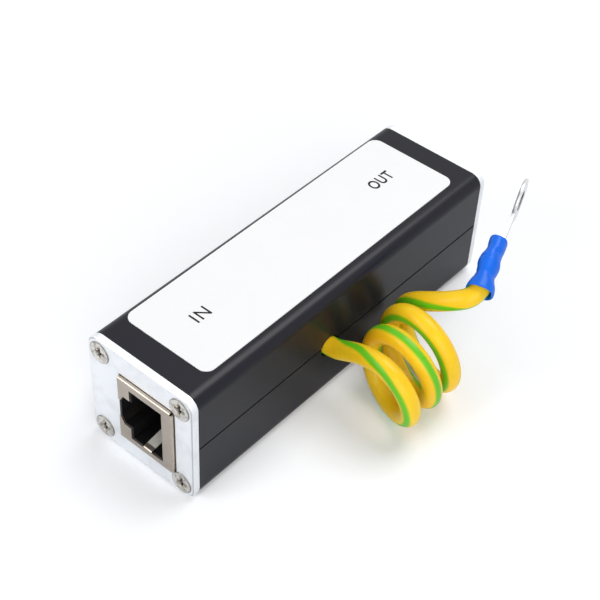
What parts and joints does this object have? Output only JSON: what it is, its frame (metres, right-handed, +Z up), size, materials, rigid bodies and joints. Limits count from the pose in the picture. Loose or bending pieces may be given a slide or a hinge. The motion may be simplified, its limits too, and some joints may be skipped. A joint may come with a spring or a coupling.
{
  "type": "ethernet surge protector",
  "caption": "In-line network surge protector: a square extruded case with a shielded socket in each end plate and a coiled earth lead ending in a ring terminal.",
  "frame": {"origin": "middle of the case's underside, on the surface it rests on", "axes": "+Y from the IN socket to the OUT socket along the case, +X towards the side that the earth lead leaves, +Z up through the label"},
  "size_m": [0.0467, 0.0844, 0.0359],
  "materials": {
    "black_anodised": "satin black anodised",
    "bare_aluminium": "fine satin, clear anodised",
    "screw_steel": "bright zinc plated",
    "label_vinyl": "matt white film",
    "board_laminate": "green solder mask",
    "socket_shield": "nickel plated sheet",
    "socket_plastic": "moulded black",
    "contact_gold": "gold plated",
    "tube_ceramic": "glazed white",
    "tube_metal": "tinned",
    "chip_moulding": "moulded black",
    "resistor_body": "glazed black with tinned ends",
    "lead_insulation": "yellow with green stripes, slight gloss",
    "tie_nylon": "natural",
    "sleeve_vinyl": "blue, slight gloss",
    "tinned_copper": "tinned copper"
  },
  "bodies": {
    "root": {"upper_shell": "black_anodised", "lower_shell": "black_anodised", "in_end_plate": "bare_aluminium", "out_end_plate": "bare_aluminium", "in_plate_screws": "screw_steel", "out_plate_screws": "screw_steel", "top_label": "label_vinyl", "circuit_board": "board_laminate", "in_jack_shield": "socket_shield", "out_jack_shield": "socket_shield", "in_jack_housing": "socket_plastic", "out_jack_housing": "socket_plastic", "in_jack_insert": "socket_plastic", "out_jack_insert": "socket_plastic", "in_jack_contacts": "contact_gold", "out_jack_contacts": "contact_gold", "gas_tube_bodies": "tube_ceramic", "gas_tube_electrodes": "tube_metal", "diode_array_bodies": "chip_moulding", "surge_diodes": "chip_moulding", "chip_resistors": "resistor_body", "lead_inside": "lead_insulation", "ground_lead_exit": "lead_insulation", "ground_lead_coil": "lead_insulation", "ground_lead_end": "lead_insulation", "lead_tie": "tie_nylon", "terminal_sleeve": "sleeve_vinyl", "ring_terminal": "tinned_copper", "lead_conductor": "tinned_copper"}
  },
  "joints": []
}
